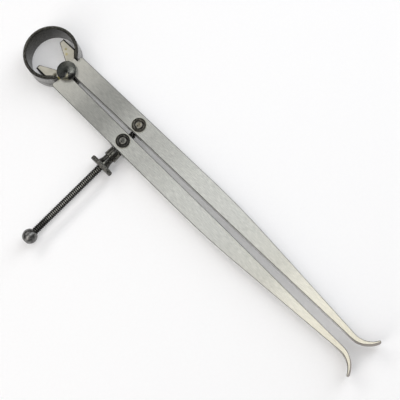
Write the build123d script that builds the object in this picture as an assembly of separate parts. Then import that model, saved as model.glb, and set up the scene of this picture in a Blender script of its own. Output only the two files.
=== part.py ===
from build123d import *
import os
from math import cos, pi, radians, sin, sqrt, tan

# Inside caliper of the bow spring kind, lying on its side. The fulcrum's axis is Z, the legs
# point to -Y, the right leg is on +X and the adjusting screw points to -X. The lower rim of
# the bow and the lower end of the fulcrum stud are at z = 0. Sizes are in millimetres.

# Fits and allowances
running_fit = 0.05
seat_gap = 0.1
overrun = 1.0

# Bow spring: an open ring of strip, which sits a little towards the right leg
bow_width = 9.8
bow_radius = 10.55
bow_strip = 1.25
bow_centre_rise = 9.6
bow_offset = 0.65
bow_end_in = 5.2
bow_edge_break = 0.16

# Fulcrum stud: a core with a cone head at each end
stud_core_radius = 2.2
stud_head_radius = 3.97
stud_head_edge = 0.7
stud_flat_radius = 0.85
stud_side_play = 0.05

# Legs, drawn closed
leg_reach = 152.4
leg_thickness = 6.35
leg_outer = 7.8
knee_outer = 7.22
knee_down = 83.0
knee_blend = 340.0
inner_relief = 0.5
relief_down = 25.0
closed_half_gap = 0.15
closed_down = 85.0
leg_edge_break = 0.2

# Toe: the curl at the lower end of each leg
toe_radius = 9.4
toe_turn_deg = 68.5
toe_root_width = 1.9
toe_end_width = 1.1
toe_nose_round = 0.5
toe_crown_depth = 0.7
toe_middle_share = 0.5
toe_crown_start_share = 0.1

# Tongues above the fulcrum, filed to slightly different sizes, and the notch that seats the bow
right_tongue_rise = 10.5
right_tongue_outer = 8.1
left_tongue_rise = 9.75
left_tongue_outer = 7.35
tongue_angle_deg = 27.6
tongue_edge_break = 0.35
notch_end_gap = 0.25
notch_side_gap = 0.25
ledge_slope_deg = 8.5
lip_setback = 0.6
shoulder_drop = 1.0

# How far each leg stands open at rest, and how far it can open further
rest_open_deg = 0.75
open_range_deg = 26.0

# Swivel pins across the legs
pin_in = 3.7
pin_down = 34.8
pin_radius = 2.35
pin_head_radius = 2.7
pin_head_thickness = 0.55
pin_side_play = 0.05
pin_dimple_radius = 1.4
pin_dimple_floor = 0.95
pin_dimple_depth = 0.25
pin_edge_break = 0.12

# Adjusting screw and its ball
screw_radius = 1.4
screw_hold = 1.9
screw_fixing_gap = 0.02
ball_reach = 57.05
ball_radius = 2.83
ball_flat_radius = 1.1
slot_side_gap = 0.2

# Thimble: the cup between the nut and the left leg
thimble_length = 3.75
thimble_face_radius = 2.38
thimble_rim_radius = 2.6
thimble_seat_depth = 2.7
thimble_edge_break = 0.2
cone_fit = 0.1

# Adjusting nut
neck_radius = 1.95
nose_end_radius = 1.8
nose_depth = 2.6
neck_length = 3.3
neck_foot_radius = 2.55
neck_waist_share = 0.2
flange_radius = 4.87
flange_thickness = 1.65
flange_edge_break = 0.35
knurl_pitch = 0.76
knurl_depth = 0.18
knurl_cutter_side = 0.5
slit_width = 0.35
slit_foot = 0.9
slit_count = 4

mid_height = bow_width / 2
leg_bottom = mid_height - leg_thickness / 2
leg_top = mid_height + leg_thickness / 2


def turned(x, y, degrees):
    """A point of the drawing turned about the fulcrum."""
    angle = radians(degrees)
    return (x * cos(angle) - y * sin(angle), x * sin(angle) + y * cos(angle))


def at_rest(x, y):
    """Where a point of the closed right leg lies when the legs stand at rest."""
    return turned(x, y, rest_open_deg)


def on_closed_leg(x, y):
    """Where a point beside the leg at rest lies on the drawing of the closed right leg."""
    return turned(x, y, -rest_open_deg)


def bow_height(sideways, radius):
    """Height above the fulcrum of the bow's lower half, at a distance from the bow's middle."""
    return bow_centre_rise - sqrt(radius ** 2 - sideways ** 2)


# Places that several pieces share
pin_x, screw_y = at_rest(pin_in, -pin_down)
edge_top_x, edge_top_y = at_rest(leg_outer, 0)
edge_knee_x, edge_knee_y = at_rest(knee_outer, -knee_down)
edge_lean = (edge_knee_x - edge_top_x) / (edge_top_y - edge_knee_y)
edge_x = edge_top_x + edge_lean * (edge_top_y - screw_y)
thimble_face_x = edge_x + edge_lean * thimble_face_radius + seat_gap
thimble_mouth_x = thimble_face_x + thimble_length
flange_front_x = thimble_mouth_x + neck_length
swing_deg = rest_open_deg + open_range_deg


def toe_point(radius, share):
    """A point of the toe, at a radius from the curl's centre and a share of its turn."""
    angle = radians(toe_turn_deg * share)
    centre_x = closed_half_gap + toe_radius
    centre_y = toe_radius * sin(radians(toe_turn_deg)) - leg_reach
    return (centre_x - radius * cos(angle), centre_y - radius * sin(angle))


def notch_points(bow_shift, tongue_outer):
    """The notch for the bow's end, from its mouth above the bow to the leg's shoulder."""
    seat_x = bow_end_in + bow_shift
    wall_x = seat_x - notch_end_gap
    bore = bow_radius - bow_strip - notch_side_gap
    slope = tan(radians(ledge_slope_deg))
    seat_y = bow_height(bow_end_in, bow_radius) - seat_gap
    lip_x = leg_outer - lip_setback
    corners = [
        (tongue_outer, bow_height(tongue_outer - bow_shift, bore)),
        (wall_x, bow_height(wall_x - bow_shift, bore)),
        (wall_x, seat_y + (wall_x - seat_x) * slope),
        (lip_x, seat_y + (lip_x - seat_x) * slope),
        (leg_outer, seat_y + (lip_x - seat_x) * slope - shoulder_drop),
    ]
    return [on_closed_leg(x, y) for x, y in corners]


def leg_outline(bow_shift, tongue_rise, tongue_outer):
    """Outline of a right leg, closed, seen from above, with the bow's middle shifted towards it."""
    tongue = radians(tongue_angle_deg)
    tongue_inner = tongue_rise * tan(tongue) + inner_relief / cos(tongue)
    crotch = (inner_relief, -inner_relief * tan(tongue / 2))
    down_the_outside = [(tongue_inner, tongue_rise), (tongue_outer, tongue_rise)]
    down_the_outside += notch_points(bow_shift, tongue_outer)
    knee = (knee_outer, -knee_down)
    outer_root = toe_point(toe_radius - toe_root_width, 0)
    down_the_outside += [knee, outer_root]

    middle_width = (toe_root_width + toe_end_width) / 2
    outer_middle = toe_point(toe_radius - middle_width, toe_middle_share)
    outer_end = toe_point(toe_radius - toe_end_width, 1)
    inner_end = toe_point(toe_radius, 1)
    inner_middle = toe_point(toe_radius, toe_middle_share)
    inner_root = toe_point(toe_radius, 0)

    up_the_inside = [inner_root, (closed_half_gap, -closed_down)]
    up_the_inside += [(inner_relief, -relief_down), crotch, (tongue_inner, tongue_rise)]
    edges = Polyline(*down_the_outside).edges()
    edges += ThreePointArc(outer_root, outer_middle, outer_end).edges()
    edges += Line(outer_end, inner_end).edges()
    edges += ThreePointArc(inner_end, inner_middle, inner_root).edges()
    edges += Polyline(*up_the_inside).edges()
    outline = make_face(edges)
    for corner, radius in [(knee, knee_blend), (outer_end, toe_nose_round), (inner_end, toe_nose_round)]:
        nearest = outline.vertices().sort_by_distance((*corner, 0))[0]
        outline = fillet(nearest, radius)
    return outline


def crown_cutter():
    """Ring that crowns the toe's outer curve across its thickness, more towards the point."""
    half_height = leg_thickness / 2
    start = radians(toe_turn_deg * toe_crown_start_share)
    end = radians(toe_turn_deg)
    rise = toe_crown_depth / (sin(end) - sin(start))
    radius = toe_radius + rise * sin(end)
    crown_edge = radius - toe_crown_depth
    reach = radius + 2 * toe_crown_depth
    edges = ThreePointArc((crown_edge, -half_height), (radius, 0), (crown_edge, half_height)).edges()
    edges += Polyline(
        (crown_edge, half_height),
        (crown_edge, half_height + overrun),
        (reach, half_height + overrun),
        (reach, -half_height - overrun),
        (crown_edge, -half_height - overrun),
        (crown_edge, -half_height),
    ).edges()
    ring = revolve(Plane.XZ * make_face(edges), Axis.Z, 2 * toe_turn_deg)
    first_deg = 180 + toe_turn_deg * toe_crown_start_share
    centre_x, centre_y = toe_point(0, 0)
    return Pos(centre_x, centre_y + rise, mid_height) * Rot(0, 0, first_deg) * ring


def screw_slot(length):
    """Oblong way for the screw through a leg, long enough for the leg's whole swing."""
    swing = radians(swing_deg)
    half_height = screw_radius + slot_side_gap
    reach = max(leg_outer - pin_in, pin_in)
    half_length = half_height / cos(swing) + reach * tan(swing)
    return extrude(Plane.YZ * SlotOverall(2 * half_length, 2 * half_height), length)


def leg_blank(bow_shift, tongue_rise, tongue_outer):
    """The leg's plate with its edges broken, most at the end and the outer edge of the tongue."""
    outline = leg_outline(bow_shift, tongue_rise, tongue_outer)
    plate = Pos(0, 0, leg_bottom) * extrude(outline, leg_thickness)
    tongue_corner = (tongue_outer, tongue_rise, mid_height)
    tongue_rims = []
    for face in plate.faces().filter_by(Axis.Z):
        tongue_rims += face.edges().sort_by_distance(tongue_corner)[:2]
    plate = chamfer(tongue_rims, tongue_edge_break)
    other_rims = []
    for face in plate.faces().filter_by(Axis.Z):
        other_rims += face.edges().sort_by_distance(tongue_corner)[2:]
    return chamfer(other_rims, leg_edge_break)


def leg(bow_shift, tongue_rise, tongue_outer, slot_from, slot_to):
    """A right leg, closed: blank, crowned toe, stud notch, pin bore and screw slot."""
    blank = leg_blank(bow_shift, tongue_rise, tongue_outer)
    blank -= crown_cutter()
    through = leg_thickness + 2 * overrun
    blank -= Pos(0, 0, mid_height) * Cylinder(stud_core_radius + running_fit, through)
    blank -= Pos(pin_in, -pin_down, mid_height) * Cylinder(pin_radius + running_fit, through)
    blank -= Pos(slot_from, -pin_down, mid_height) * screw_slot(slot_to - slot_from)
    return blank


def leg_right():
    """The right leg holds the screw's end, so its slot stops at the pin."""
    closed = leg(bow_offset, right_tongue_rise, right_tongue_outer, -overrun, pin_in)
    return Rot(0, 0, rest_open_deg) * closed


def leg_left():
    """The left leg lets the screw pass right through."""
    closed = leg(-bow_offset, left_tongue_rise, left_tongue_outer, -overrun, leg_outer + overrun)
    return mirror(Rot(0, 0, rest_open_deg) * closed, Plane.YZ)


def bow_spring():
    """Open ring of strip, its ends cut square to sit in the legs' notches."""
    ring = Cylinder(bow_radius, bow_width) - Cylinder(bow_radius - bow_strip, bow_width)
    ring = chamfer(ring.edges().filter_by(GeomType.CIRCLE), bow_edge_break)
    gap_depth = bow_radius + overrun
    gap = Box(2 * bow_end_in, gap_depth, bow_width + 2 * overrun)
    ring -= Pos(0, -gap_depth / 2, 0) * gap
    return Pos(bow_offset, bow_centre_rise, mid_height) * ring


def fulcrum_stud():
    """Spool that the legs rock on: a core between two shallow cone heads."""
    head_height = leg_bottom - stud_side_play
    profile = Polygon(
        (0, 0),
        (stud_flat_radius, 0),
        (stud_head_radius, head_height - stud_head_edge),
        (stud_head_radius, head_height),
        (stud_core_radius, head_height),
        (stud_core_radius, mid_height),
        (0, mid_height),
        align=None,
    )
    half = revolve(Plane.XZ * profile, Axis.Z)
    return half + mirror(half, Plane.XY.offset(mid_height))


def swivel_pin():
    """Pin with a dished head at each end, upright, centred on its own middle."""
    half_length = leg_thickness / 2 + pin_side_play
    head = Cylinder(pin_head_radius, pin_head_thickness)
    head = chamfer(head.edges().group_by(Axis.Z)[-1], pin_edge_break)
    head = Pos(0, 0, half_length + pin_head_thickness / 2) * head
    dimple = Cone(pin_dimple_floor, pin_dimple_radius, pin_dimple_depth)
    head -= Pos(0, 0, half_length + pin_head_thickness - pin_dimple_depth / 2) * dimple
    pin = Cylinder(pin_radius, 2 * half_length) + head
    return pin + mirror(head, Plane.XY)


def along_screw(solid, x):
    """Lays a solid made along Z on the screw's line, with its top towards the ball."""
    return Pos(x, screw_y, mid_height) * Rot(0, -90, 0) * solid


def screw_pin():
    """Swivel pin of the right leg, with a blind hole for the screw's end."""
    hole = Cylinder(screw_radius + screw_fixing_gap, pin_radius + overrun + screw_hold)
    hole = Pos(0, 0, (pin_radius + overrun - screw_hold) / 2) * hole
    return Pos(pin_x, screw_y, mid_height) * swivel_pin() - along_screw(hole, pin_x)


def guide_pin():
    """Swivel pin of the left leg, with the hole that the screw runs through."""
    hole = Cylinder(screw_radius + running_fit, 2 * (pin_radius + overrun))
    return Pos(-pin_x, screw_y, mid_height) * swivel_pin() - along_screw(hole, -pin_x)


def adjusting_screw():
    """Screw from its seat in the right pin to the turned ball on its free end."""
    shank_length = screw_hold + ball_reach
    shank = Pos(0, 0, ball_reach - shank_length / 2) * Cylinder(screw_radius, shank_length)
    ball = Sphere(ball_radius)
    flat_rise = sqrt(ball_radius ** 2 - ball_flat_radius ** 2)
    end = Box(2 * ball_radius, 2 * ball_radius, ball_radius)
    ball -= Pos(0, 0, flat_rise + ball_radius / 2) * end
    return along_screw(shank + Pos(0, 0, ball_reach) * ball, pin_x)


def thimble():
    """Cup with a flat face for the leg and a conical seat for the nut's split nose."""
    seat_drop = (neck_radius - nose_end_radius) / nose_depth * thimble_seat_depth
    mouth = neck_radius + cone_fit
    profile = Polygon(
        (screw_radius + cone_fit, 0),
        (thimble_face_radius - thimble_edge_break, 0),
        (thimble_face_radius, thimble_edge_break),
        (thimble_rim_radius, thimble_length - thimble_edge_break),
        (thimble_rim_radius - thimble_edge_break, thimble_length),
        (mouth, thimble_length),
        (mouth - seat_drop, thimble_length - thimble_seat_depth),
        (screw_radius + cone_fit, thimble_length - thimble_seat_depth),
        align=None,
    )
    return along_screw(revolve(Plane.XZ * profile, Axis.Z), -thimble_face_x)


def nut_profile():
    """Half section of the nut, from the nose end to the back of the flange."""
    bore = screw_radius + running_fit
    foot_rise = nose_depth + neck_length
    back = foot_rise + flange_thickness
    half_waist = nose_depth + neck_length / 2
    waist_flare = (neck_foot_radius - neck_radius) * neck_waist_share
    waist_middle = (neck_radius + waist_flare, half_waist)
    rim = flange_radius - flange_edge_break
    edges = Polyline((bore, 0), (nose_end_radius, 0), (neck_radius, nose_depth)).edges()
    edges += ThreePointArc((neck_radius, nose_depth), waist_middle, (neck_foot_radius, foot_rise)).edges()
    edges += Polyline(
        (neck_foot_radius, foot_rise),
        (rim, foot_rise),
        (flange_radius, foot_rise + flange_edge_break),
        (flange_radius, back - flange_edge_break),
        (rim, back),
        (bore, back),
        (bore, 0),
    ).edges()
    return make_face(edges)


def adjusting_nut():
    """Nut with a split nose, a waisted neck and a straight knurled flange."""
    nut = revolve(Plane.XZ * nut_profile(), Axis.Z)
    foot_rise = nose_depth + neck_length
    knurl_count = round(2 * pi * flange_radius / knurl_pitch)
    groove = Box(knurl_cutter_side, knurl_cutter_side, flange_thickness + 2 * overrun)
    groove = Rot(0, 0, 45) * groove
    groove_place = flange_radius - knurl_depth + knurl_cutter_side / sqrt(2)
    nut -= Pos(0, 0, foot_rise + flange_thickness / 2) * PolarLocations(groove_place, knurl_count) * groove
    slit_length = foot_rise - slit_foot + overrun
    slit = Box(2 * neck_foot_radius, slit_width, slit_length)
    slit = Pos(neck_foot_radius, 0, slit_length / 2 - overrun) * slit
    nut -= PolarLocations(0, slit_count) * slit
    return along_screw(nut, -(thimble_mouth_x - nose_depth))


pieces = {
    "bow_spring": bow_spring,
    "fulcrum_stud": fulcrum_stud,
    "leg_right": leg_right,
    "leg_left": leg_left,
    "screw_pin": screw_pin,
    "guide_pin": guide_pin,
    "adjusting_screw": adjusting_screw,
    "nut_thimble": thimble,
    "adjusting_nut": adjusting_nut,
}

os.makedirs("parts", exist_ok=True)
for name, make in pieces.items():
    export_step(make(), f"parts/{name}.step")
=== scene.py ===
import bmesh
import bpy
from math import pi, radians
from mathutils import Matrix, Vector


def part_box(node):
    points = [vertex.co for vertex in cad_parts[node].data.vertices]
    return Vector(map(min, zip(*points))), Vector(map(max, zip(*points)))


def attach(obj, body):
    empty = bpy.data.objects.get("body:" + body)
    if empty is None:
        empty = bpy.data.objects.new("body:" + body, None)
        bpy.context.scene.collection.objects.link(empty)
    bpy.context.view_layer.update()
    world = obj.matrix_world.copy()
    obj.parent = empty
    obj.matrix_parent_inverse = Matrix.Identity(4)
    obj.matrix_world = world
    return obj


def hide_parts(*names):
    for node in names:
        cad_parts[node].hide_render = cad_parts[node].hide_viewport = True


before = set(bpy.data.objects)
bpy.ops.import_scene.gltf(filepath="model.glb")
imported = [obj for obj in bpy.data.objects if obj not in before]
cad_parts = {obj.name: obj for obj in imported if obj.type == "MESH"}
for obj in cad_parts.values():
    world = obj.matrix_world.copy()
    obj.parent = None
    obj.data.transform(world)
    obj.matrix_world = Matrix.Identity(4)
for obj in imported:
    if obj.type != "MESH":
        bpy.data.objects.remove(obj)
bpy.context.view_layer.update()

# The camera stands over the legs, to the left of the tips, and looks down on the caliper from
# a short way off. It is turned so that the legs run from corner to corner of a square picture.
camera = bpy.data.cameras.new("view")
camera.sensor_width = 36.0
camera.lens = 99.0
camera.clip_start = 0.01
viewer = bpy.data.objects.new("view", camera)
viewer.location = (-0.033254, -0.158852, 0.393441)
viewer.rotation_euler = (radians(12.4777), radians(5.6877), radians(-44.8187))
bpy.context.collection.objects.link(viewer)
bpy.context.scene.camera = viewer
bpy.context.scene.view_settings.view_transform = "Standard"

# The table: a sheet of matt white board with a faint grain. It glows a little of itself, which
# is painted light that lifts its shadows. The caliper lies on it on the lower rim of its bow.
table_half = 1.6
board_grain = 900.0
board_dark = (0.785, 0.787, 0.80)
board_light = (0.82, 0.822, 0.835)
board_roughness = 0.75
board_shine = 0.2
# Painted light: the board glows a little, which lifts the shadows on it
board_painted_glow = 0.17
doubles_within = 1e-7
cut_within = 1e-8


def mesh_piece(name, shape, surface, smooth_below=None):
    """Makes an object of a finished bmesh, smooth but for edges sharper than some degrees."""
    bmesh.ops.remove_doubles(shape, verts=shape.verts[:], dist=doubles_within)
    bmesh.ops.recalc_face_normals(shape, faces=shape.faces[:])
    if smooth_below is not None:
        for face in shape.faces:
            face.smooth = True
        for edge in shape.edges:
            edge.smooth = edge.calc_face_angle(0.0) < radians(smooth_below)
    mesh = bpy.data.meshes.new(name)
    shape.to_mesh(mesh)
    shape.free()
    mesh.materials.append(surface)
    piece = bpy.data.objects.new(name, mesh)
    bpy.context.collection.objects.link(piece)
    return piece


def new_surface(name):
    """A material, its shader, a function that adds a wired node to it, and its links."""
    surface = bpy.data.materials.new(name)
    surface.use_nodes = True
    tree = surface.node_tree
    shader = tree.nodes["Principled BSDF"]

    def node(kind, inputs=None, **settings):
        made = tree.nodes.new("ShaderNode" + kind)
        for setting, value in settings.items():
            setattr(made, setting, value)
        for socket, value in (inputs or {}).items():
            if isinstance(value, bpy.types.NodeSocket):
                tree.links.new(value, made.inputs[socket])
            else:
                made.inputs[socket].default_value = value
        return made

    return surface, shader, node, tree.links


def ramp(node, share, first, second, low=0.0, high=1.0):
    """Goes from one colour to another as a share goes from low to high."""
    made = node("ValToRGB", {"Fac": share})
    made.color_ramp.elements[0].position = low
    made.color_ramp.elements[0].color = (*first, 1.0)
    made.color_ramp.elements[1].position = high
    made.color_ramp.elements[1].color = (*second, 1.0)
    return made.outputs["Color"]


def noise(node, place, scale, detail=4.0, rough=0.6):
    """Noise with grains of about one over the scale, in metres."""
    inputs = {"Vector": place, "Scale": scale, "Detail": detail, "Roughness": rough}
    return node("TexNoise", inputs).outputs["Fac"]


board, shader, node, links = new_surface("white_board")
place = node("TexCoord").outputs["Object"]
tone = ramp(node, noise(node, place, board_grain), board_dark, board_light)
links.new(tone, shader.inputs["Base Color"])
shader.inputs["Roughness"].default_value = board_roughness
shader.inputs["Specular IOR Level"].default_value = board_shine
shader.inputs["Emission Color"].default_value = (1.0, 1.0, 1.0, 1.0)
shader.inputs["Emission Strength"].default_value = board_painted_glow
shape = bmesh.new()
bmesh.ops.create_grid(shape, x_segments=2, y_segments=2, size=table_half)
table = mesh_piece("table", shape, board)

# The studio: a dim room with two long soft boxes, a cool one to the right of the legs and a
# warmer one to the left, and a small one behind the bow that lights the tongues.
room_low = (0.05, 0.05, 0.05)
room_high = (0.30, 0.30, 0.30)
over_legs = (0.0, -0.10, 0.0)
lights = (
    ("light_right", (0.48, -0.10, 0.42), over_legs, 0.36, 1.2, 3.3, (0.965, 0.98, 1.0)),
    ("light_left", (-0.48, -0.10, 0.42), over_legs, 0.30, 1.2, 2.9, (1.0, 0.965, 0.92)),
    ("light_behind_bow", (0.0, 0.42, 0.50), (0.0, 0.0, 0.0), 0.5, 0.16, 1.1, (1.0, 0.98, 0.95)),
)

room = bpy.data.worlds.new("room")
room.use_nodes = True
sky = room.node_tree
sky_side = sky.nodes.new("ShaderNodeTexCoord")
upward = sky.nodes.new("ShaderNodeSeparateXYZ")
sky_tone = sky.nodes.new("ShaderNodeValToRGB")
sky.links.new(sky_side.outputs["Generated"], upward.inputs["Vector"])
sky.links.new(upward.outputs["Z"], sky_tone.inputs["Fac"])
sky.links.new(sky_tone.outputs["Color"], sky.nodes["Background"].inputs["Color"])
sky_tone.color_ramp.elements[0].color = (*room_low, 1.0)
sky_tone.color_ramp.elements[1].color = (*room_high, 1.0)
bpy.context.scene.world = room

for name, place, towards, width, height, power, tint in lights:
    light = bpy.data.lights.new(name, "AREA")
    light.shape = "RECTANGLE"
    light.size = width
    light.size_y = height
    light.energy = power
    light.color = tint
    lamp = bpy.data.objects.new(name, light)
    lamp.location = place
    lamp.rotation_euler = (Vector(towards) - Vector(place)).to_track_quat("-Z", "Y").to_euler()
    bpy.context.collection.objects.link(lamp)

# The two legs: flat bars of bright steel, ground and brushed lengthwise, with their edges broken.
# The tongues are duller and creamy, with a few oil stains, and painted shade blackens their rims.
leg_lean = 0.75
brush_stretch = (1.0, 0.08, 1.0)
brush_grain = 5200.0
cross_stretch = (0.3, 1.0, 1.0)
cross_grain = 7500.0
cloud_grain = 420.0
noise_span = (0.3, 0.7)
brush_span = (0.36, 0.64)
grain_span = (0.33, 0.67)
brush_height = 0.15
brush_comb = 0.4
satin_span = (0.325, 0.338)
satin_grain = 0.015
cream_ragged = 0.001
stain_ragged = 0.0003
dull_wall = 0.6
dull_metallic = 0.15
cool_steel = ((0.805, 0.81, 0.78), (0.96, 0.965, 0.92))
warm_steel = ((0.72, 0.685, 0.575), (0.795, 0.75, 0.635))
# Painted sheen: the colour the ground face is painted towards as it nears the tongue
sheen_by_tongue = (1.0, 0.985, 0.92)
brush_tones = ((0.69, 0.695, 0.68), (0.89, 0.89, 0.88))
cream_tones = ((0.41, 0.39, 0.325), (0.52, 0.50, 0.425))
# Painted reflection: the walls are painted pale, as the floor they face
wall_reflection_tones = ((0.62, 0.615, 0.61), (0.90, 0.895, 0.89))
toe_wall = (0.30, 0.26, 0.23)
# Painted shade on the broken edges
leg_edge_shade = (0.10, 0.10, 0.09)
# Painted shade: black on the tongue's rims, walls and edges, and on the bow's inner wall
painted_shade_black = (0.012, 0.012, 0.011)
tongue_edge_shade = (0.008, 0.008, 0.007)
# Painted highlight: a pale ring round the pin's head
pin_halo_highlight = (0.75, 0.74, 0.62)
pin_across = 0.004155
pin_along = -0.034749
pin_halo_span = (0.0031, 0.0029)
outer_rim_width, outer_rim_black = 0.00065, 0.0005
top_rim_width, top_rim_black = 0.0006, 0.00035
# Places along the leg, up from the fulcrum, where a colour or a painted sheen starts and where it is
# full
warm_span = (-0.085, -0.14)
sheen_by_tongue_span = (-0.018, 0.0)
cream_span = (0.0005, 0.003)
tongue_span = (0.002, 0.003)
toe_span = (-0.139, -0.146)
# How level the surface lies on the flat faces, off them, and on the upright walls
on_face = (0.85, 0.98)
off_face = (0.98, 0.85)
on_wall = (0.6, 0.35)
# Painted sheen: how bright the ground face is painted along the leg, for how the light falls on it
sheen_foot = -0.13
sheen_foot_level = 0.86
sheen_top_level = 0.88
painted_sheen_levels = (
    (-0.118, 0.80), (-0.108, 0.65), (-0.088, 0.70), (-0.074, 0.84), (-0.062, 0.96),
    (-0.044, 0.93), (-0.034, 1.0), (-0.024, 0.68), (-0.0155, 0.69), (-0.009, 0.84),
)
# Oil stains on the tongues: across, along, radius and colour
right_stains = (
    (0.0057, 0.0069, 0.0006, (0.26, 0.22, 0.08)),
    (0.0045, 0.0052, 0.0007, (0.42, 0.36, 0.16)),
)
left_stains = (
    (-0.0040, 0.0005, 0.0010, (0.33, 0.27, 0.03)),
    (-0.0041, 0.0024, 0.0010, (0.05, 0.045, 0.015)),
)


def mixed(node, share, first, second, way="MIX"):
    """Lays a second colour over the first by a share."""
    first, second = (
        colour if isinstance(colour, bpy.types.NodeSocket) else (*colour, 1.0)
        for colour in (first, second)
    )
    inputs = {"Factor": share, "A": first, "B": second}
    return node("Mix", inputs, data_type="RGBA", blend_type=way).outputs["Result"]


def between(node, value, start, end, first=0.0, last=1.0):
    """Goes from one number to another as a value goes from start to end."""
    limits = {"Value": value, "From Min": start, "From Max": end, "To Min": first, "To Max": last}
    return node("MapRange", limits).outputs["Result"]


def calc(node, way, first, second=0.0):
    """One sum on one or two values."""
    return node("Math", {0: first, 1: second}, operation=way).outputs["Value"]


def stretched(node, place, scale):
    """A place scaled along its axes, so that a noise on it is drawn out along the small ones."""
    return node("Mapping", {"Vector": place, "Scale": scale}).outputs["Vector"]


def parts_of(node, place):
    """The X, Y and Z of a place."""
    return node("SeparateXYZ", {"Vector": place}).outputs


def flatness_of(node):
    """How level the surface lies: 1 on a face that points up or down, 0 on an upright wall."""
    return calc(node, "ABSOLUTE", parts_of(node, node("NewGeometry").outputs["Normal"])["Z"])


def distance_from(node, place, axis):
    """How far a place is from the X or the Z axis."""
    keep = (0.0, 1.0, 1.0) if axis == "X" else (1.0, 1.0, 0.0)
    across = node("VectorMath", {0: place, 1: keep}, operation="MULTIPLY").outputs["Vector"]
    return node("VectorMath", {0: across}, operation="LENGTH").outputs["Value"]


def distance_to(node, place, x, y):
    """How far a place is from an upright line through a point."""
    flat = node("VectorMath", {0: place, 1: (1.0, 1.0, 0.0)}, operation="MULTIPLY").outputs["Vector"]
    return node("VectorMath", {0: flat, 1: (x, y, 0.0)}, operation="DISTANCE").outputs["Value"]


def banded(node, share, stops, first, last):
    """A ramp with stops, given as position and colour, between a first and a last colour."""
    made = node("ValToRGB", {"Fac": share})
    for position, colour in stops:
        made.color_ramp.elements.new(position).color = (*colour, 1.0)
    made.color_ramp.elements[0].color = (*first, 1.0)
    made.color_ramp.elements[-1].color = (*last, 1.0)
    return made.outputs["Color"]


def rough_up(node, links, shader, height, strength=0.3, depth=0.00002):
    """Raises the surface by a height."""
    bump = node("Bump", {"Height": height, "Strength": strength, "Distance": depth})
    links.new(bump.outputs["Normal"], shader.inputs["Normal"])


def comb(node, links, shader, axis, amount):
    """Draws the highlights out across fine marks that run round an axis."""
    shader.inputs["Anisotropic"].default_value = amount
    round_axis = node("Tangent", direction_type="RADIAL", axis=axis)
    links.new(round_axis.outputs["Tangent"], shader.inputs["Tangent"])


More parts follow.
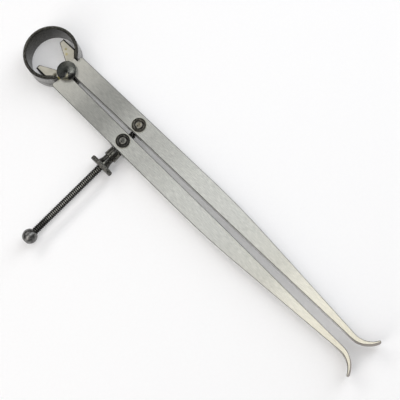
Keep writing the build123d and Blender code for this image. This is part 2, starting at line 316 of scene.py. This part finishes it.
# Each leg: the side it leans to, how far its tongue reaches up and out, and its stains
for side, way, tongue_rise, tongue_outer, stains in (
    ("leg_right", 1, 0.0105, 0.0081, right_stains),
    ("leg_left", -1, 0.00975, 0.00735, left_stains),
):
    steel, shader, node, links = new_surface(side + "_steel")
    place = node("TexCoord").outputs["Object"]
    turn_back = {"Vector": place, "Rotation": (0.0, 0.0, radians(-way * leg_lean))}
    along = node("Mapping", turn_back).outputs["Vector"]
    parts = parts_of(node, along)
    flatness = flatness_of(node)
    brushed = noise(node, stretched(node, along, brush_stretch), brush_grain, 2.0)
    crossed = noise(node, stretched(node, along, cross_stretch), cross_grain, 2.0)
    grain = between(node, calc(node, "ADD", brushed, crossed), 0.0, 2.0)
    clouds = noise(node, along, cloud_grain, 6.0, 0.55)

    # The ground face, warmer towards the toe, with painted sheen: brighter by the tongue and in bands
    cool = ramp(node, brushed, *cool_steel, *brush_span)
    warm = ramp(node, brushed, *warm_steel, *brush_span)
    face = mixed(node, between(node, parts["Y"], *warm_span), cool, warm)
    face = mixed(node, between(node, parts["Y"], *sheen_by_tongue_span), face, sheen_by_tongue)
    stops = [((along_leg - sheen_foot) / -sheen_foot, (level,) * 3) for along_leg, level in painted_sheen_levels]
    wear_and_sheen = between(node, parts["Y"], sheen_foot, 0.0)
    wear_and_sheen = banded(node, wear_and_sheen, stops, (sheen_foot_level,) * 3, (sheen_top_level,) * 3)
    face = mixed(node, 1.0, face, wear_and_sheen, "MULTIPLY")
    face = mixed(node, 1.0, face, ramp(node, grain, *brush_tones, *grain_span), "MULTIPLY")

    # The creamy tongue with its stains, and a painted highlight: a pale ring round the pin's head
    ragged = between(node, clouds, *noise_span, -cream_ragged, cream_ragged)
    creamy = between(node, calc(node, "ADD", parts["Y"], ragged), *cream_span)
    face = mixed(node, creamy, face, ramp(node, clouds, *cream_tones, *noise_span))
    for x, y, size, colour in stains:
        ragged = between(node, grain, *noise_span, -stain_ragged, stain_ragged)
        away = calc(node, "ADD", distance_to(node, place, x, y), ragged)
        face = mixed(node, between(node, away, size, size * 0.5, 0.0, 0.85), face, colour)
    away = distance_to(node, place, way * pin_across, pin_along)
    face = mixed(node, between(node, away, *pin_halo_span, 0.0, 0.6), face, pin_halo_highlight)

    # Painted shade: a black rim along the tongue's edges
    above = between(node, parts["Y"], *tongue_span)
    outward = calc(node, "ABSOLUTE", parts["X"])
    outer_rim = between(node, outward, tongue_outer - outer_rim_width, tongue_outer - outer_rim_black)
    top_rim = (tongue_rise - top_rim_width, tongue_rise - top_rim_black)
    top_rim = between(node, parts["Y"], *top_rim, 0.0, 0.7)
    rim = calc(node, "MAXIMUM", calc(node, "MULTIPLY", outer_rim, above), top_rim)
    face = mixed(node, rim, face, painted_shade_black)

    # The upright walls, painted pale as the floor's reflection, brown at the toe and black with painted
    # shade on the tongue, and the broken edges painted dark as shade
    toe = between(node, parts["Y"], *toe_span)
    wall = mixed(node, toe, ramp(node, grain, *wall_reflection_tones, *grain_span), toe_wall)
    wall = mixed(node, above, wall, painted_shade_black)
    bevel = mixed(node, above, leg_edge_shade, tongue_edge_shade)
    edge = mixed(node, between(node, flatness, *on_wall), bevel, wall)
    tone = mixed(node, between(node, flatness, *off_face), face, edge)
    links.new(tone, shader.inputs["Base Color"])

    # The sheen, which is duller on the creamy tongues and on the walls
    satin = between(node, clouds, *noise_span, *satin_span)
    satin = calc(node, "ADD", satin, between(node, grain, *noise_span, -satin_grain, satin_grain))
    links.new(satin, shader.inputs["Roughness"])
    creamy_face = calc(node, "MULTIPLY", creamy, between(node, flatness, *on_face))
    below = between(node, above, 1.0, 0.0)
    low_wall = calc(node, "MULTIPLY", below, between(node, flatness, *on_wall))
    dull = calc(node, "MAXIMUM", creamy_face, calc(node, "MULTIPLY", low_wall, dull_wall))
    links.new(between(node, dull, 0.0, 1.0, 1.0, dull_metallic), shader.inputs["Metallic"])
    rough_up(node, links, shader, calc(node, "ADD", brushed, grain), brush_height)
    comb(node, links, shader, "Y", brush_comb)
    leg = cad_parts[side]
    leg.data.materials.clear()
    leg.data.materials.append(steel)

# The bow spring: a strip of spring steel rolled into an open ring and blued black, its
# edges rubbed round. Its cut ends sit in the legs' notches and squeeze the tongues together.
bow_low, bow_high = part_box("bow_spring")
bow_radius = (bow_high.x - bow_low.x) / 2
bow_middle = Vector(((bow_low.x + bow_high.x) / 2, bow_high.y - bow_radius, 0.0))
bow_strip = 0.00125
bow_half_gap = 0.0052
bow_edge_round = 0.0003
bow_steps = 160
bow_spare_angle = radians(20)
bow_blue = ((0.016, 0.0165, 0.0135), (0.062, 0.060, 0.049))
bow_inside_tones = ((0.45, 0.44, 0.40), (1.0, 0.99, 0.93))
# Painted reflection: the outer wall is painted a paler grey, as the floor it faces
bow_outside_reflection_tones = ((0.16, 0.16, 0.155), (0.36, 0.355, 0.345))
bow_rim_tones = ((0.02, 0.02, 0.017), (0.085, 0.083, 0.073))
# Painted shade on the rounded edges
bow_edge_shade = (0.018, 0.018, 0.016)
bow_outer_skin = (bow_radius - 0.0007, bow_radius - 0.0006)
bow_off_wall = (0.25, 0.5)
bow_on_rim = (0.88, 0.99)
bow_top_band = (0.03, 0.03, 0.028)
bow_top_span = (0.0088, 0.0094)
bow_shade_span = (0.001, 0.006)
rolled_stretch = (0.25, 0.25, 2.0)
rolled_grain = 2600.0
dark_line_height = 0.0035
dark_line_span = (0.0016, 0.0006)
dark_line_tone = (0.05, 0.048, 0.045)
mottle_grain = 1500.0
mottle_span = (0.3, 0.72)
sheen_spread = 0.06
oxide_metallic = 0.85


def blackened(name, dark, light, sheen, centre=(0.0, 0.0, 0.0)):
    """Oxide-blackened steel, mottled and slightly brown; places are measured from the centre."""
    surface, shader, node, links = new_surface(name)
    from_centre = {"Vector": node("TexCoord").outputs["Object"], "Location": centre}
    place = node("Mapping", from_centre, vector_type="TEXTURE").outputs["Vector"]
    mottle = noise(node, place, mottle_grain, 6.0, 0.65)
    tone = ramp(node, mottle, dark, light, *mottle_span)
    satin = between(node, mottle, *noise_span, sheen - sheen_spread, sheen + sheen_spread)
    links.new(satin, shader.inputs["Roughness"])
    shader.inputs["Metallic"].default_value = oxide_metallic
    return surface, shader, node, links, place, mottle, tone


def close_ends(shape):
    """Closes the open ends of a bmesh with flat faces."""
    ends = [edge for edge in shape.edges if edge.is_boundary]
    bmesh.ops.holes_fill(shape, edges=ends, sides=0)


bow_black, shader, node, links, place, mottle, inside = blackened(
    "bow_black", *bow_blue, sheen=0.27, centre=(bow_middle.x, bow_middle.y, 0.0))
parts = parts_of(node, place)
flatness = flatness_of(node)
rolled = noise(node, stretched(node, place, rolled_stretch), rolled_grain)
inside = mixed(node, 1.0, inside, ramp(node, rolled, *bow_inside_tones, *noise_span), "MULTIPLY")
# Painted shade: the inner wall is darkened towards +X
inside = mixed(node, between(node, parts["X"], *bow_shade_span, 0.0, 0.55), inside, painted_shade_black)
# Painted reflection: the outer wall is paler, with a dark band near its top; the rounded edges are
# painted dark as shade
outside = ramp(node, rolled, *bow_outside_reflection_tones, *noise_span)
outside = mixed(node, between(node, parts["Z"], *bow_top_span), outside, bow_top_band)
# A dark line round the outer wall at a set height
dark_line = calc(node, "ABSOLUTE", calc(node, "SUBTRACT", parts["Z"], dark_line_height))
outside = mixed(node, between(node, dark_line, *dark_line_span, 0.0, 0.7), outside, dark_line_tone)
outer_skin = between(node, distance_from(node, place, "Z"), *bow_outer_skin)
wall = mixed(node, outer_skin, inside, outside)
wall = mixed(node, between(node, flatness, *bow_off_wall), wall, bow_edge_shade)
rim = ramp(node, mottle, *bow_rim_tones, *noise_span)
tone = mixed(node, between(node, flatness, *bow_on_rim), wall, rim)
links.new(tone, shader.inputs["Base Color"])
rough_up(node, links, shader, calc(node, "ADD", mottle, rolled))

shape = bmesh.new()
corners = [
    shape.verts.new((radius, 0.0, height))
    for radius, height in (
        (bow_radius - bow_strip, bow_low.z),
        (bow_radius, bow_low.z),
        (bow_radius, bow_high.z),
        (bow_radius - bow_strip, bow_high.z),
    )
]
shape.faces.new(corners)
bmesh.ops.bevel(shape, geom=shape.verts[:], offset=bow_edge_round, offset_type="OFFSET",
                segments=4, profile=0.5, affect="VERTICES", material=-1)
start = Matrix.Rotation(bow_spare_angle - pi / 2, 3, "Z")
bmesh.ops.rotate(shape, verts=shape.verts[:], cent=(0, 0, 0), matrix=start)
bmesh.ops.spin(shape, geom=shape.faces[:], cent=(0, 0, 0), axis=(0, 0, 1),
               angle=2 * (pi - bow_spare_angle), steps=bow_steps)
for way in (-1, 1):
    lower = []
    for face in shape.faces:
        middle = face.calc_center_median()
        if middle.y < 0 and middle.x * way > 0:
            lower.append(face)
    edges = {edge for face in lower for edge in face.edges}
    verts = {vert for face in lower for vert in face.verts}
    bmesh.ops.bisect_plane(shape, geom=[*verts, *edges, *lower], dist=cut_within,
                           plane_co=(way * bow_half_gap, 0, 0), plane_no=(-way, 0, 0), clear_outer=True)
close_ends(shape)
bmesh.ops.translate(shape, verts=shape.verts[:], vec=bow_middle)
bow = mesh_piece("bow", shape, bow_black, smooth_below=35)
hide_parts("bow_spring")
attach(bow, "bow")

# The fulcrum stud: a spool turned from one bar and blackened, a core between two heads that are
# dished to a point. The legs rock on its core, and the heads keep them level with each other.
stud_low, stud_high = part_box("fulcrum_stud")
stud_middle = (stud_low + stud_high) / 2
stud_radius = 0.0038
stud_core = 0.0022
stud_head = 0.001675
stud_top = 0.0011
dish_radius = 0.00362
dish_depth = 0.0018
stud_edge_round = 0.00008
stud_ragged = 0.02
stud_ring_grain = 6000.0
stud_comb = 0.75
bearing_face = (stud_high.z - stud_low.z) / 2 - stud_head
under_head_span = (bearing_face + 0.0001, bearing_face + 0.00005)
past_core_span = (stud_core + 0.0001, stud_core + 0.0002)
skirt_span = (stud_radius - 0.00005, stud_radius - 0.00002)
turned_steps = 96
turned_sharp = 25
stud_tones = ((0.25, 0.255, 0.245), (0.55, 0.56, 0.535))
stud_back = (0.12, 0.12, 0.12)
# Painted light: pale under the heads, past the core
stud_under_head_light = (0.62, 0.62, 0.60)
stud_skirt = (0.02, 0.02, 0.018)
# Painted reflections round the head, as light and dark sectors: degrees from +X, and a tone
stud_reflection_sectors = (
    (-162, (0.16, 0.16, 0.165)), (-150, (0.48, 0.45, 0.35)), (-128, (0.46, 0.43, 0.34)),
    (-118, (0.07, 0.07, 0.07)), (-74, (0.08, 0.08, 0.08)), (-60, (0.33, 0.34, 0.335)),
    (0, (0.35, 0.36, 0.355)), (24, (0.26, 0.265, 0.26)), (52, (0.10, 0.103, 0.098)),
    (110, (0.04, 0.042, 0.038)), (150, (0.07, 0.072, 0.067)),
)


def turned(outline, edge_round):
    """Turns an outline of (radius, height) points about an upright axis and rounds its edges."""
    shape = bmesh.new()
    points = [shape.verts.new((radius, 0.0, height)) for radius, height in outline]
    chain = [shape.edges.new(pair) for pair in zip(points, points[1:])]
    bmesh.ops.spin(shape, geom=points + chain, cent=(0, 0, 0), axis=(0, 0, 1),
                   angle=2 * pi, steps=turned_steps, use_merge=True)
    bmesh.ops.remove_doubles(shape, verts=shape.verts[:], dist=doubles_within)
    bmesh.ops.recalc_face_normals(shape, faces=shape.faces[:])
    corner = radians(turned_sharp)
    sharp = [edge for edge in shape.edges if edge.is_manifold and edge.calc_face_angle() > corner]
    bmesh.ops.bevel(shape, geom=sharp, offset=edge_round, offset_type="OFFSET", segments=3,
                    profile=0.5, affect="EDGES", material=-1, clamp_overlap=True)
    return shape


def both_ends(upper_half):
    """An outline with its upper half mirrored below."""
    return [(radius, -height) for radius, height in reversed(upper_half)] + upper_half


def turning_marks(node, from_axis, scale):
    """Fine rings that the turning tool left round an axis."""
    across = node("CombineXYZ", {"X": from_axis}).outputs["Vector"]
    return noise(node, across, scale, 3.0)


stud_black, shader, node, links, place, mottle, tone = blackened(
    "stud_black", *stud_tones, sheen=0.30, centre=tuple(stud_middle))
from_axis = distance_from(node, place, "Z")
# Painted reflections: the head is painted in light and dark sectors round its axis
round_head = node("TexGradient", {"Vector": place}, gradient_type="RADIAL").outputs["Fac"]
round_head = calc(node, "ADD", round_head, between(node, mottle, *noise_span, -stud_ragged, stud_ragged))
stops = [((degrees + 180) / 360, colour) for degrees, colour in stud_reflection_sectors]
tone = mixed(node, 1.0, tone, banded(node, round_head, stops, stud_back, stud_back), "MULTIPLY")
# Painted light: past the core, the faces under the heads are painted pale, which lifts the shade seen
# through the gap between the legs
height = calc(node, "ABSOLUTE", parts_of(node, place)["Z"])
under_head = between(node, height, *under_head_span)
past_core = between(node, from_axis, *past_core_span)
tone = mixed(node, calc(node, "MULTIPLY", under_head, past_core), tone, stud_under_head_light)
skirt = between(node, from_axis, *skirt_span)
links.new(mixed(node, skirt, tone, stud_skirt), shader.inputs["Base Color"])
marks = turning_marks(node, from_axis, stud_ring_grain)
rough_up(node, links, shader, calc(node, "ADD", marks, mottle))
comb(node, links, shader, "Z", stud_comb)

shape = turned(both_ends([
    (stud_core, bearing_face),
    (stud_radius, bearing_face),
    (stud_radius, bearing_face + stud_top),
    (dish_radius, bearing_face + stud_top),
    (0.0, bearing_face + stud_top - dish_depth),
]), stud_edge_round)
bmesh.ops.translate(shape, verts=shape.verts[:], vec=(0, 0, stud_middle.z))
stud = mesh_piece("stud", shape, stud_black, smooth_below=30)
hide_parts("fulcrum_stud")
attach(stud, "fulcrum")

# The two swivel pins: short blackened studs across the legs, one holding the screw's end and
# one that the screw slides through. Each head has a turned groove round a flat middle.
pin_shank = 0.00235
pin_head_thick = 0.00055
groove_outer = 0.0019
groove_inner = 0.0012
groove_depth = 0.0003
groove_slope = 0.0002
button_sunk = 0.00004
pin_edge_round = 0.0001
pin_ring_grain = 7000.0
pin_ring_span = (0.0003, 0.0001)
button_span = (groove_inner + 0.0001, groove_inner)
button_mottle = (0.35, 0.65)
# Rings on the head: radius and tone. The dark ones lie in the groove and farther out; the pale
# one round the button's edge is a painted highlight
pin_rings_and_highlight = (
    (0.0015, (0.008, 0.008, 0.007)),
    (0.0025, (0.015, 0.015, 0.013)),
    (0.00107, (0.26, 0.255, 0.23)),
)
screw_pin_head = ((0.03, 0.029, 0.025), (0.17, 0.162, 0.135))
screw_pin_button = ((0.07, 0.064, 0.048), (0.36, 0.33, 0.255))
guide_pin_head = ((0.02, 0.02, 0.018), (0.10, 0.098, 0.088))
guide_pin_button = ((0.05, 0.05, 0.045), (0.17, 0.17, 0.155))

for side, body, head_tones, button_tones in (
    ("screw_pin", "screw", screw_pin_head, screw_pin_button),
    ("guide_pin", "guide", guide_pin_head, guide_pin_button),
):
    low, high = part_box(side)
    middle = (low + high) / 2
    head_radius = (high.x - low.x) / 2
    head_top = (high.z - low.z) / 2

    pin_black, shader, node, links, place, mottle, tone = blackened(
        side + "_black", *head_tones, sheen=0.28, centre=tuple(middle))
    from_axis = distance_from(node, place, "Z")
    button = ramp(node, mottle, *button_tones, *button_mottle)
    tone = mixed(node, between(node, from_axis, *button_span), tone, button)
    for ring, colour in pin_rings_and_highlight:
        off_ring = calc(node, "ABSOLUTE", calc(node, "SUBTRACT", from_axis, ring))
        tone = mixed(node, between(node, off_ring, *pin_ring_span, 0.0, 0.8), tone, colour)
    links.new(tone, shader.inputs["Base Color"])
    marks = turning_marks(node, from_axis, pin_ring_grain)
    rough_up(node, links, shader, calc(node, "ADD", marks, mottle))

    shape = turned(both_ends([
        (pin_shank, head_top - pin_head_thick),
        (head_radius, head_top - pin_head_thick),
        (head_radius, head_top),
        (groove_outer, head_top),
        (groove_outer - groove_slope, head_top - groove_depth),
        (groove_inner + groove_slope, head_top - groove_depth),
        (groove_inner, head_top - button_sunk),
        (0.0, head_top - button_sunk),
    ]), pin_edge_round)
    bmesh.ops.translate(shape, verts=shape.verts[:], vec=middle)
    pin = mesh_piece(side.replace("_", "_swivel_"), shape, pin_black, smooth_below=30)
    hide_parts(side)
    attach(pin, body)

# The adjusting screw: a long blackened screw with a fine thread along its whole length, and a
# ball turned on its free end, with a small flat where it was parted off.
screw_low, screw_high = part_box("adjusting_screw")
screw_line = (screw_low + screw_high) / 2
ball_radius = (screw_high.z - screw_low.z) / 2
ball_flat = 0.0011
ball_flat_out = (ball_radius ** 2 - ball_flat ** 2) ** 0.5
ball_centre = Vector((screw_low.x + ball_flat_out, screw_line.y, screw_line.z))
thread_radius = 0.0014
thread_root = 0.0011
thread_pitch = 0.000773
thread_in_ball = ball_radius * 0.2
thread_length = screw_high.x - ball_centre.x - ball_radius + thread_in_ball
thread_turns = int(thread_length / thread_pitch)
turn_steps = 20
# One tooth of the thread: share of the pitch and radius
tooth_outline = (
    (0.0, thread_root),
    (0.27, thread_radius - 0.00009),
    (0.40, thread_radius - 0.000025),
    (0.5, thread_radius),
    (0.60, thread_radius - 0.000025),
    (0.73, thread_radius - 0.00009),
    (1.0, thread_root),
)
thread_tones = ((0.004, 0.004, 0.004), (0.012, 0.012, 0.011))
crest_tones = ((0.13, 0.128, 0.117), (0.38, 0.374, 0.347))
# Painted shade on the rod's sides
thread_side_shade = (0.008, 0.008, 0.008)
thread_darker = (0.012, 0.012, 0.012)
# Painted highlights: white flecks on the thread between the legs
glint_white = (0.9, 0.9, 0.88)
glint_grain = 1300.0
glint_span = (0.54, 0.58)
crest_span = (thread_radius - 0.00011, thread_radius - 0.00008)
pale_band_facing = (0.0, -0.28, 0.96)
pale_band_span = (0.88, 0.70)
near_ball_span = (ball_centre.x + 0.010, ball_centre.x + 0.008)
between_legs_span = (-0.006, -0.003)
thread_shine = 0.2
ball_tones = ((0.03, 0.03, 0.029), (0.13, 0.128, 0.122))
ball_worn_tones = ((0.05, 0.05, 0.049), (0.32, 0.32, 0.315))
ball_worn_grain = 800.0
ball_worn_span = (0.35, 0.62)
ball_worn_share = 0.5
ball_mark_stretch = (3.0, 0.2, 0.2)
ball_mark_grain = 2500.0

thread_black, shader, node, links, place, mottle, tone = blackened(
    "thread_black", *thread_tones, sheen=0.30, centre=tuple(screw_line))
parts = parts_of(node, node("TexCoord").outputs["Object"])
on_crest = between(node, distance_from(node, place, "X"), *crest_span)
tone = mixed(node, on_crest, tone, ramp(node, mottle, *crest_tones, *noise_span))
# Painted shade: the rod's sides away from a fixed direction, up and towards the toes, are painted dark,
# leaving a pale band along its top
facing_pale_band = node("VectorMath", {0: place, 1: pale_band_facing}, operation="DOT_PRODUCT").outputs["Value"]
facing_pale_band = calc(node, "DIVIDE", calc(node, "ABSOLUTE", facing_pale_band), thread_radius)
tone = mixed(node, between(node, facing_pale_band, *pale_band_span, 0.0, 0.95), tone, thread_side_shade)
# Darker near the ball, and from between the legs to the end in the pin
near_ball = between(node, parts["X"], *near_ball_span, 0.0, 0.75)
between_legs = between(node, parts["X"], *between_legs_span)
darker_share = calc(node, "MAXIMUM", near_ball, calc(node, "MULTIPLY", between_legs, 0.9))
tone = mixed(node, darker_share, tone, thread_darker)
# Painted highlights: white flecks on the thread from between the legs on
gap_glints = between(node, noise(node, place, glint_grain, 2.0), *glint_span, 0.0, 0.9)
tone = mixed(node, calc(node, "MULTIPLY", gap_glints, between_legs), tone, glint_white)
links.new(tone, shader.inputs["Base Color"])
shader.inputs["Specular IOR Level"].default_value = thread_shine
rough_up(node, links, shader, mottle)

shape = bmesh.new()
tooth = [shape.verts.new((-share * thread_pitch, 0.0, radius)) for share, radius in tooth_outline]
flanks = [shape.edges.new(pair) for pair in zip(tooth, tooth[1:])]
bmesh.ops.spin(shape, geom=tooth + flanks, cent=(0, 0, 0), axis=(1, 0, 0), angle=2 * pi * thread_turns,
               dvec=(-thread_pitch / turn_steps, 0, 0), steps=turn_steps * thread_turns)
bmesh.ops.remove_doubles(shape, verts=shape.verts[:], dist=1e-6)
close_ends(shape)
bmesh.ops.translate(shape, verts=shape.verts[:], vec=(screw_high.x, screw_line.y, screw_line.z))
thread = mesh_piece("screw_thread", shape, thread_black, smooth_below=40)
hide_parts("adjusting_screw")
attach(thread, "screw")


def lay_along_screw(shape, foot):
    """Lays an upright shape along the screw, with its foot at a place and its top to the ball."""
    over = Matrix.Rotation(-pi / 2, 3, "Y")
    bmesh.ops.rotate(shape, verts=shape.verts[:], cent=(0, 0, 0), matrix=over)
    bmesh.ops.translate(shape, verts=shape.verts[:], vec=foot)


ball_black, shader, node, links, place, mottle, tone = blackened(
    "ball_black", *ball_tones, sheen=0.30, centre=tuple(ball_centre))
wear_and_sheen = noise(node, place, ball_worn_grain, 5.0)
wear_and_sheen = ramp(node, wear_and_sheen, *ball_worn_tones, *ball_worn_span)
links.new(mixed(node, ball_worn_share, tone, wear_and_sheen), shader.inputs["Base Color"])
marks = noise(node, stretched(node, place, ball_mark_stretch), ball_mark_grain, 3.0)
rough_up(node, links, shader, calc(node, "ADD", marks, mottle))

shape = bmesh.new()
bmesh.ops.create_uvsphere(shape, u_segments=64, v_segments=40, radius=ball_radius)
bmesh.ops.bisect_plane(shape, geom=shape.verts[:] + shape.edges[:] + shape.faces[:], dist=cut_within,
                       plane_co=(0, 0, ball_flat_out), plane_no=(0, 0, 1), clear_outer=True)
close_ends(shape)
lay_along_screw(shape, ball_centre)
ball = mesh_piece("screw_ball", shape, ball_black, smooth_below=35)
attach(ball, "screw")

# The thimble: a short turned and blackened cup, a little rusty, with painted highlights in streaks.
# Its flat foot bears on the left leg, and the conical seat in its mouth closes the nut's split nose.
cup_low, cup_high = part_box("nut_thimble")
cup_line = (cup_low + cup_high) / 2
cup_foot = 0.00238
cup_rim = 0.0026
cup_length = cup_high.x - cup_low.x
cup_bore = 0.0015
cup_mouth = 0.00205
cup_seat = 0.0027
cup_seat_foot = 0.0019
cup_edge_round = 0.00014
cup_tones = ((0.014, 0.014, 0.014), (0.06, 0.058, 0.052))
cup_glint_streak = (0.26, 0.26, 0.22)
cup_glint_stretch = (0.12, 1.0, 1.0)
cup_glint_grain = 2600.0
cup_glint_span = (0.5, 0.68)
cup_rust = (0.09, 0.045, 0.022)
cup_rust_grain = 900.0
cup_rust_span = (0.6, 0.72)

cup_black, shader, node, links, place, mottle, tone = blackened(
    "cup_black", *cup_tones, sheen=0.24, centre=tuple(cup_line))
# Painted highlights: pale streaks along the cup
streaks = noise(node, stretched(node, place, cup_glint_stretch), cup_glint_grain)
tone = mixed(node, between(node, streaks, *cup_glint_span), tone, cup_glint_streak)
rust = between(node, noise(node, place, cup_rust_grain), *cup_rust_span, 0.0, 0.7)
links.new(mixed(node, rust, tone, cup_rust), shader.inputs["Base Color"])
rough_up(node, links, shader, calc(node, "ADD", streaks, mottle))

shape = turned((
    (cup_bore, 0.0),
    (cup_foot, 0.0),
    (cup_rim, cup_length),
    (cup_mouth, cup_length),
    (cup_seat_foot, cup_length - cup_seat),
    (cup_bore, cup_length - cup_seat),
    (cup_bore, 0.0),
), cup_edge_round)
lay_along_screw(shape, (cup_high.x, cup_line.y, cup_line.z))
cup = mesh_piece("thimble_cup", shape, cup_black, smooth_below=30)
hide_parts("nut_thimble")
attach(cup, "thimble")

# The adjusting nut: turned steel, blackened, with a thin flange that has a straight knurl, a
# waisted neck, and a nose that is split in four, so that the thimble's cone presses it inwards.
nut_low, nut_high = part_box("adjusting_nut")
nut_line = (nut_low + nut_high) / 2
nut_foot = (nut_high.x, nut_line.y, nut_line.z)
nut_length = nut_high.x - nut_low.x
flange_radius = (nut_high.z - nut_low.z) / 2
flange_thick = 0.00165
flange_edge = 0.0003
knurl_count = 88
knurl_depth = 0.00012
nose_length = 0.0026
nose_end = 0.0018
neck_radius = 0.00195
neck_foot = 0.00255
neck_waist = neck_radius * 1.03
neck_end = nut_length - flange_thick
nut_bore = 0.00145
slit_width = 0.00035
nut_tones = ((0.02, 0.02, 0.019), (0.08, 0.078, 0.07))
knurl_tones = ((0.05, 0.05, 0.045), (0.20, 0.197, 0.18))
knurl_span = (flange_radius - 0.0005, flange_radius - 0.0001)
nut_fleck = (0.30, 0.295, 0.25)
nut_fleck_grain = 1100.0
nut_fleck_span = (0.58, 0.7)

nut_black, shader, node, links, place, mottle, tone = blackened(
    "nut_black", *nut_tones, sheen=0.28, centre=tuple(nut_line))
on_knurl = between(node, distance_from(node, place, "X"), *knurl_span)
tone = mixed(node, on_knurl, tone, ramp(node, mottle, *knurl_tones, *noise_span))
flecks = between(node, noise(node, place, nut_fleck_grain), *nut_fleck_span)
links.new(mixed(node, flecks, tone, nut_fleck), shader.inputs["Base Color"])
rough_up(node, links, shader, mottle)


def new_verts(made):
    """The vertices that an operator has made."""
    return [item for item in made["geom"] if isinstance(item, bmesh.types.BMVert)]


# A knurled disc, then a bevel on each of its two many-sided ends
shape = bmesh.new()
bmesh.ops.create_circle(shape, cap_ends=True, segments=2 * knurl_count, radius=flange_radius)
for vert in shape.verts:
    if vert.index % 2:
        vert.co *= 1 - knurl_depth / flange_radius
bmesh.ops.translate(shape, verts=shape.verts[:], vec=(0, 0, neck_end + flange_edge))
knurl = bmesh.ops.extrude_face_region(shape, geom=shape.faces[:])
bmesh.ops.translate(shape, verts=new_verts(knurl), vec=(0, 0, flange_thick - 2 * flange_edge))
for face in [face for face in shape.faces if len(face.verts) > 4]:
    out = 1 if face.calc_center_median().z > nut_length - flange_thick / 2 else -1
    verts = new_verts(bmesh.ops.extrude_face_region(shape, geom=[face]))
    bmesh.ops.translate(shape, verts=verts, vec=(0, 0, out * flange_edge))
    for vert in verts:
        vert.co.xy *= 1 - flange_edge / flange_radius
lay_along_screw(shape, nut_foot)
flange = mesh_piece("nut_flange", shape, nut_black, smooth_below=20)
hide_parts("adjusting_nut")
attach(flange, "nut")

# A quarter of the neck and nose
shape = bmesh.new()
section = [
    shape.verts.new((radius, 0.0, height))
    for radius, height in (
        (nut_bore, 0.0),
        (nose_end, 0.0),
        (neck_radius, nose_length),
        (neck_waist, (nose_length + neck_end) / 2),
        (neck_foot, neck_end),
        (nut_bore, neck_end),
    )
]
shape.faces.new(section)
half_slit = slit_width / 2 / neck_radius
start = Matrix.Rotation(half_slit, 3, "Z")
bmesh.ops.rotate(shape, verts=shape.verts[:], cent=(0, 0, 0), matrix=start)
bmesh.ops.spin(shape, geom=shape.faces[:], cent=(0, 0, 0), axis=(0, 0, 1),
               angle=pi / 2 - 2 * half_slit, steps=20)
# Three more quarters, each past a slit
quarter = shape.verts[:] + shape.edges[:] + shape.faces[:]
for turn in range(1, 4):
    copy = new_verts(bmesh.ops.duplicate(shape, geom=quarter))
    turned_on = Matrix.Rotation(turn * pi / 2, 3, "Z")
    bmesh.ops.rotate(shape, verts=copy, cent=(0, 0, 0), matrix=turned_on)
lay_along_screw(shape, nut_foot)
neck = mesh_piece("nut_neck", shape, nut_black, smooth_below=30)
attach(neck, "nut")
